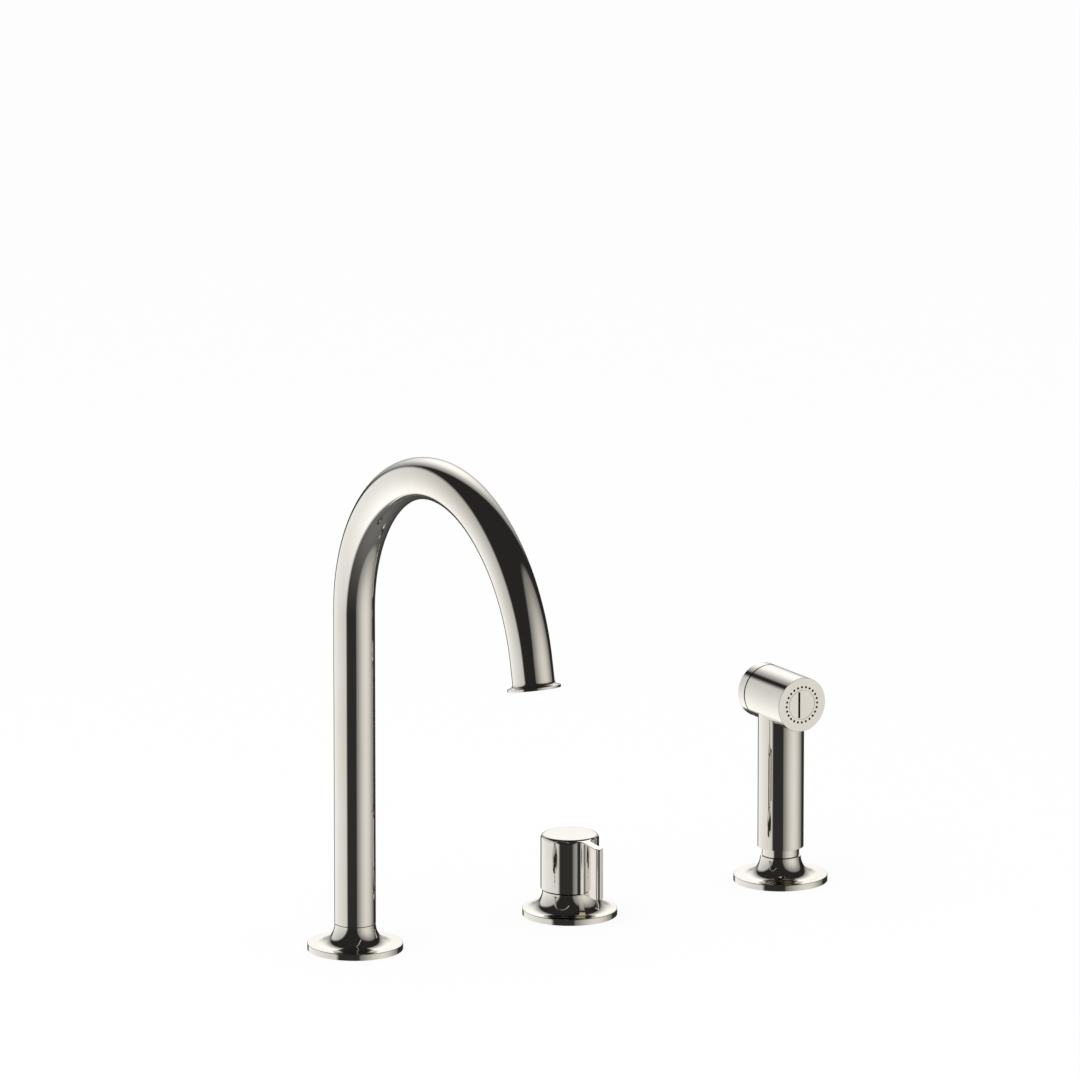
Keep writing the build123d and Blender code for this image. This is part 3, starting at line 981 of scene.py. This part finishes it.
def makeKnob():
    radius, top = knob["radius"], knob["top"]
    shoulder = (radius, top - knob["round"])
    body = lathe("controlKnob", [
        shoulder,
        *arc(shoulder, (radius - knob["round"], top), (0, 1), steps=10),
        (0, top),
        (0, knob["web"]),
        (knob["cavity"], knob["web"]),
        (knob["cavity"], knob["foot"]),
        (radius, knob["foot"]),
    ], steps=128)
    hole = bar(knob["screwHole"], *knob["screwHoleEnds"], sides=32)
    cut(body, place(hole, (0, 0, knob["screwHeight"]), (-90, 0, 0)))
    softenEdges(body)
    polish(body)
    joined(body, makeFin())
    place(body, (stationX["control"], 0, 0))
    setDown(body, "knob", nickel, "nickel", "control_knob")
    # painted shade on the knob's foot, in the gap over the base
    paintSeamShade(body, knob["foot"], knob["radius"])


def finPlan():
    # it leaves the knob in a hollow curve and ends in a narrower round nose
    radius, hollow, half, nose = knob["radius"], knob["finHollow"], knob["finHalf"], knob["finNose"]
    shoulder = nose - knob["finReach"]
    bend = Vector((half + hollow, -math.sqrt((radius + hollow) ** 2 - (half + hollow) ** 2)))
    root = bend * radius / (radius + hollow)
    side = [
        tuple(root * knob["finRootShare"]),
        tuple(root),
        *arc(root, (half, bend.y), (root.y, -root.x), steps=12),
        (half, shoulder),
        (nose, shoulder),
        *arc((nose, shoulder), (0, -knob["finReach"]), (0, -1), steps=10),
    ]
    return side + [(-x, y) for x, y in reversed(side[:-1])]


def makeFin():
    # its plan is raised to the root's height and cut to the sloping top
    radius, foot, rootTop = knob["radius"], knob["foot"], knob["finRootTop"]
    fin = drawn("fin", [(x, y, foot) for x, y in finPlan()])
    bpy.ops.mesh.select_all(action="SELECT")
    bpy.ops.mesh.edge_face_add()
    rise = (0, 0, (rootTop - foot) * mm)
    bpy.ops.mesh.extrude_region_move(TRANSFORM_OT_translate={"value": rise})
    bpy.ops.mesh.select_all(action="SELECT")
    drop = (rootTop - knob["finEndTop"]) / (knob["finReach"] - radius)
    bpy.ops.mesh.bisect(
        plane_co=(0, -radius * mm, (rootTop - knob["finTopCut"]) * mm), plane_no=(0, -drop, 1),
        clear_outer=True, use_fill=True,
    )
    pick(lambda spot: spot.z > knob["web"])
    bpy.ops.mesh.bevel(offset=knob["finTopRound"] * mm, segments=4, affect="EDGES")
    tidyShell()
    softenEdges(fin, angle=knob["finSoftAngle"])
    polish(fin)
    return fin


# a groove is its depth, its width and the height of its middle
connector = {
    "bore": 3.5,
    "nippleTip": 4.3,
    "nippleFoot": 4.4,
    "nippleEnd": -13.0,
    "threadRoot": 4.25,
    "threadCrest": 5.0,
    "pitch": 1.0,
    "tailEnd": -4.0,
    "tailTip": 6.9,
    "tail": 7.9,
    "foot": 16.8,
    "radius": 11.9,
    "top": 22.1,
    "pivot": 7.0,
    "pivotTop": 38.0,
    "sealGroove": (1.6, 2.0, 28.0),
    "clipGroove": (1.0, 1.2, 34.0),
    "valvePocket": 5.0,
    "valveFoot": 26.0,
}


def makeConnector():
    c = connector
    piece = lathe("hoseConnector", [
        (c["bore"], c["tailEnd"]),
        (c["tailTip"], c["tailEnd"]),
        (c["tail"], c["foot"]),
        (c["radius"], c["foot"]),
        (c["radius"], c["top"]),
        (c["pivot"], c["top"]),
        *grooved(c["pivot"], *c["sealGroove"]),
        *grooved(c["pivot"], *c["clipGroove"]),
        (c["pivot"], c["pivotTop"]),
        (c["valvePocket"], c["pivotTop"]),
        (c["valvePocket"], c["valveFoot"]),
        (c["bore"], c["valveFoot"]),
    ])
    nipple = lathe("hoseNipple", [
        (c["bore"], c["nippleEnd"]),
        (c["nippleTip"], c["nippleEnd"]),
        (c["nippleFoot"], c["tailEnd"]),
        (c["bore"], c["tailEnd"]),
    ])
    softenEdges(piece)
    softenEdges(nipple)
    joined(nipple, threadRidge(
        c["threadRoot"], c["threadCrest"], c["pitch"], c["nippleEnd"], c["tailEnd"],
    ))
    for part in (piece, nipple):
        polish(part)
        place(part, (stationX["spray"], 0, 0))
        setDown(part, "hose_end", nickel, "nickel", "hose_connector")
    nipple.visible_glossy = False


# the head lies along Y: its front and back, and the button's, are measured forward from the
# grip's axis, and face is how thick its front is
spray = {
    "grip": 14.7,
    "gripFoot": 22.3,
    "gripTop": 111.0,
    "gripBore": 8.0,
    "gripEdge": 0.2,
    "socket": 7.05,
    "socketTop": 41.0,
    "waterwayTop": 110.1,
    "waterwaySkin": 0.1,
    "head": 17.5,
    "axis": 120.1,
    "front": 24.4,
    "back": -15.6,
    "headEdge": 0.15,
    "chamber": 13.5,
    "face": 3.0,
    "insertHole": 9.55,
    "jets": 24,
    "jetRadius": 0.8,
    "jetCircle": 11.5,
}
insert = {
    "radius": 9.5,
    "flange": 10.7,
    "flangeDepth": 2.0,
    "slotWidth": 1.5,
    "slotLength": 17.0,
    "slotOffset": -2.0,
    "edge": 0.1,
    "paintedShadeDepth": 0.3,
}
button = {
    "front": -16.5,
    "back": -23.9,
    "edge": 0.15,
    "round": 0.8,
    "boss": 6.0,
    "bossFront": -12.0,
    "stemHole": 2.55,
    "stemFloor": -20.5,
}


def headPlaced(piece):
    # from the head's own axis, with its face up, to the top of the grip
    place(piece, (stationX["spray"], 0, spray["axis"]), (90, 0, 0))


def makeHead():
    s = spray
    front, back, floor = s["front"], s["back"], s["front"] - s["face"]
    radius, edge, holeEdge = s["head"], s["headEdge"], insert["edge"]
    head = lathe("head", [
        (s["chamber"], back),
        (radius - edge, back),
        (radius, back + edge),
        (radius, front - edge),
        (radius - edge, front),
        (s["insertHole"] + holeEdge, front),
        (s["insertHole"], front - holeEdge),
        (s["insertHole"], floor),
        (s["chamber"], floor),
    ], steps=144)
    jet = bar(s["jetRadius"], floor - spare, front + spare, sides=16)
    drills = []
    for index in range(s["jets"]):
        spot = polar(s["jetCircle"], 90 + 360 / s["jets"] * index)
        drills.append(copied(jet, "jet", spot))
    bpy.data.objects.remove(jet)
    cut(head, joined(*drills))
    polish(head)
    headPlaced(head)
    return head


def makeSprayBody():
    s = spray
    head = makeHead()
    grip = lathe("sprayBody", [
        (s["socket"], s["gripFoot"]),
        (s["grip"], s["gripFoot"]),
        (s["grip"], s["gripTop"]),
        (s["gripBore"], s["gripTop"]),
        (s["gripBore"], s["socketTop"]),
        (s["socket"], s["socketTop"]),
    ], steps=128)
    softenEdges(grip, s["gripEdge"])
    polish(grip)
    place(grip, (stationX["spray"], 0, 0))
    joined(grip, head)
    setDown(grip, "hand_spray", nickel, "nickel", "spray_body")
    # painted shade inside the chamber, the waterway and the jets
    paintShade(grip, isInSpray)


def isInSpray(spot, normal):
    # the chamber, the waterway and the walls of the jets, which get painted shade
    s = spray
    spot = spot - Vector((stationX["spray"], 0, s["axis"]))
    fromAxis = math.hypot(spot.x, spot.z)
    inJet = abs(fromAxis - s["jetCircle"]) < s["jetRadius"] + near
    inHead = spot.y > -s["front"] + near and (inJet or fromAxis < s["chamber"] + near)
    inGrip = math.hypot(spot.x, spot.y) < s["gripBore"] + s["waterwaySkin"]
    belowHead = spot.z < s["waterwayTop"] - s["axis"]
    return inHead and spot.z > -s["chamber"] or inGrip and belowHead


def makeInsert():
    front, floor = spray["front"], spray["front"] - spray["face"]
    radius, edge = insert["radius"], insert["edge"]
    back = floor - insert["flangeDepth"]
    piece = lathe("jetInsert", [
        (0, front),
        (radius - edge, front),
        (radius, front - edge),
        (radius, floor),
        (insert["flange"], floor),
        (insert["flange"], back),
        (0, back),
    ], steps=144)
    bpy.ops.object.select_all(action="DESELECT")
    bpy.ops.mesh.primitive_cube_add(size=mm)
    slot = newPiece("slot")
    slot.scale = (insert["slotWidth"], insert["slotLength"], 2 * (front - back + spare))
    cut(piece, place(slot, (insert["slotOffset"], 0, front)))
    polish(piece)
    headPlaced(piece)
    setDown(piece, "hand_spray", nickel, "nickel", "jet_insert")
    # painted shade in the slot and behind the face
    paintShade(piece, isInSlot)


def isInSlot(spot, normal):
    # the long walls of the slot and all that lies behind the face, which get painted shade
    fromSlot = abs(spot.x - stationX["spray"] - insert["slotOffset"])
    onWall = fromSlot < insert["slotWidth"] / 2 + near and abs(normal.x) > 0.9
    return onWall or spot.y > -spray["front"] + insert["paintedShadeDepth"]


def makeButton():
    b = button
    radius = spray["head"]
    shoulder, rim = (radius, b["back"] + b["round"]), (radius - b["round"], b["back"])
    piece = lathe("sprayButton", [
        (radius - b["edge"], b["front"]),
        (radius, b["front"] - b["edge"]),
        shoulder,
        *arc(shoulder, rim, (0, -1), steps=6),
        (0, b["back"]),
        (0, b["stemFloor"]),
        (b["stemHole"], b["stemFloor"]),
        (b["stemHole"], b["bossFront"]),
        (b["boss"], b["bossFront"]),
        (b["boss"], b["front"]),
    ], steps=144)
    polish(piece)
    headPlaced(piece)
    setDown(piece, "button", nickel, "nickel", "spray_button")


for station in stationX:
    makeFlange(station)
print("flanges made")
makeBases()
print("bases made")
makeLockNuts()
print("lock nuts made")
makeSpoutTube()
makeScrews()
makeDiverterSpring()
makeAeratorHousing()
makeAeratorInsert()
print("spout made")
makeKnob()
print("knob made")
makeConnector()
makeSprayBody()
makeInsert()
makeButton()
print("hand spray made")


# the clip distances are in metres
shot = {
    "target": (-22.1, 0.0, 245.6),
    "azimuth": -31.69,
    "drop": 13.66,
    "distance": 8652.0,
    "lens": 460.2,
    "sensor": 36.0,
    "clip": (0.5, 60.0),
}


def viewDirection():
    turn, drop = math.radians(shot["azimuth"]), math.radians(shot["drop"])
    return Vector((
        -math.sin(turn) * math.cos(drop), math.cos(turn) * math.cos(drop), -math.sin(drop),
    ))


def makeCamera():
    direction = viewDirection()
    spot = Vector(shot["target"]) - direction * shot["distance"]
    bpy.ops.object.camera_add(location=spot * mm)
    camera = bpy.context.object
    camera.name = "camera"
    camera.rotation_euler = direction.to_track_quat("-Z", "Y").to_euler()
    camera.data.sensor_width = shot["sensor"]
    camera.data.lens = shot["lens"]
    camera.data.clip_start, camera.data.clip_end = shot["clip"]
    bpy.context.scene.camera = camera


# What polished metal sees round it: three round softboxes with soft edges in a dark room. A box
# stands at degrees to the right of the camera and degrees up, and its radii are in degrees too.
# Its level goes from the middle to the rim, and slope adds to it to the right, ahead and up.
studio = {
    "boxes": {
        "left": {
            "at": (-97, -15), "core": 46, "edge": 57, "middle": 0.74, "rim": 0.74,
            "slope": (0.0, 0.2, -0.42), "tint": (1.0, 1.0, 1.0),
        },
        "right": {
            "at": (68, -8), "core": 50, "edge": 59, "middle": 0.82, "rim": 0.25,
            "slope": (0.0, 0.0, 0.0), "tint": (1.0, 0.985, 0.95),
        },
        "behind": {
            "at": (180, 27), "core": 30, "edge": 38, "middle": 1.28, "rim": 0.4,
            "slope": (0.0, 0.0, 0.0), "tint": (1.0, 1.0, 1.0),
        },
    },
    "falloff": 1.3,
    "room": 0.022,
    "ground": 0.15,
    "groundFalloff": 2.0,
    "plainLevel": 0.9,
}


def boxLight(direction, box, right, ahead):
    # the level that one softbox gives in each direction
    up = Vector((0, 0, 1))
    turn, lift = (math.radians(angle) for angle in box["at"])
    towards = right * math.sin(turn) - ahead * math.cos(turn)
    nearness = direction.dot(towards * math.cos(lift) + up * math.sin(lift))
    core, edge = math.cos(math.radians(box["core"])), math.cos(math.radians(box["edge"]))
    shape = nearness.ranged(edge, core, 0.0, 1.0, smooth=True)
    bulge = nearness.ranged(core, 1.0, 0.0, 1.0) ** studio["falloff"]
    toRight, toAhead, toUp = box["slope"]
    slope = direction.dot(right * toRight + ahead * toAhead + up * toUp)
    return shape * (bulge * (box["middle"] - box["rim"]) + box["rim"] + slope)


def makeWorld():
    # polished metal sees the studio, the camera sees white, and all else gets a plain light
    world = bpy.context.scene.world or bpy.data.worlds.new("studio")
    bpy.context.scene.world = world
    world.use_nodes = True
    tree = world.node_tree
    tree.nodes.clear()
    coordinates = tree.nodes.new("ShaderNodeTexCoord")
    direction = Wire(coordinates.outputs["Generated"])
    view = viewDirection()
    ahead = Vector((view.x, view.y, 0)).normalized()
    right = Vector((ahead.y, -ahead.x, 0))
    below = direction.dot(Vector((0, 0, -1))).ranged(0.0, 1.0, 0.0, 1.0)
    ground = below ** studio["groundFalloff"] * studio["ground"]
    seen = (ground + studio["room"]).scaled((1.0, 1.0, 1.0))
    for box in studio["boxes"].values():
        seen = seen.plus(boxLight(direction, box, right, ahead).scaled(box["tint"]))
    path = Wire(tree.nodes.new("ShaderNodeLightPath").outputs["Is Glossy Ray"])
    camera = Wire(path.socket.node.outputs["Is Camera Ray"])
    plain = camera.mixed((studio["plainLevel"],) * 3 + (1,), (1, 1, 1, 1))
    colour = path.mixed(plain, seen)
    background = colour.node("ShaderNodeBackground", {}, {"Color": colour, "Strength": 1.0})
    output = tree.nodes.new("ShaderNodeOutputWorld")
    connect(background, output.inputs["Surface"])


# just clear of the flanges; its size is in metres, and glow is its share of plain white
worktop = {
    "size": 60,
    "height": -0.1,
    "colour": (0.92, 0.92, 0.92, 1),
    "roughness": 0.9,
    "glow": 0.88,
}


def makeFloor():
    bpy.ops.object.select_all(action="DESELECT")
    bpy.ops.mesh.primitive_plane_add(size=worktop["size"], location=(0, 0, worktop["height"] * mm))
    floor = newPiece("worktop")
    floor.visible_glossy = False
    material = bpy.data.materials.new("paleWorktop")
    material.use_nodes = True
    tree = material.node_tree
    shader = tree.nodes["Principled BSDF"]
    shader.inputs["Base Color"].default_value = worktop["colour"]
    shader.inputs["Roughness"].default_value = worktop["roughness"]
    shader.inputs["Specular IOR Level"].default_value = 0.0
    path = Wire(tree.nodes.new("ShaderNodeLightPath").outputs["Is Camera Ray"])
    glow = path.node("ShaderNodeEmission", {}, {"Color": (1, 1, 1, 1), "Strength": 1.0})
    layers = {0: path * worktop["glow"], 1: Wire(shader.outputs[0]), 2: glow}
    mixed = path.node("ShaderNodeMixShader", {}, layers)
    connect(mixed, tree.nodes["Material Output"].inputs["Surface"])
    floor.data.materials.append(material)


# in metres; back is the direction from what it lights to the lamp
lampLook = {"at": (-0.8, -0.6, 1.9), "back": (-0.8, -0.6, 1.8), "size": 1.8, "power": 12.0}


def makeLamp():
    bpy.ops.object.light_add(type="AREA", location=lampLook["at"])
    lamp = bpy.context.object
    lamp.name = "softLamp"
    lamp.data.size = lampLook["size"]
    lamp.data.energy = lampLook["power"]
    lamp.rotation_euler = Vector(lampLook["back"]).to_track_quat("Z", "Y").to_euler()
    lamp.visible_glossy = False


makeCamera()
makeWorld()
makeFloor()
makeLamp()
bpy.context.scene.view_settings.view_transform = "Standard"
print("camera, light and floor made")
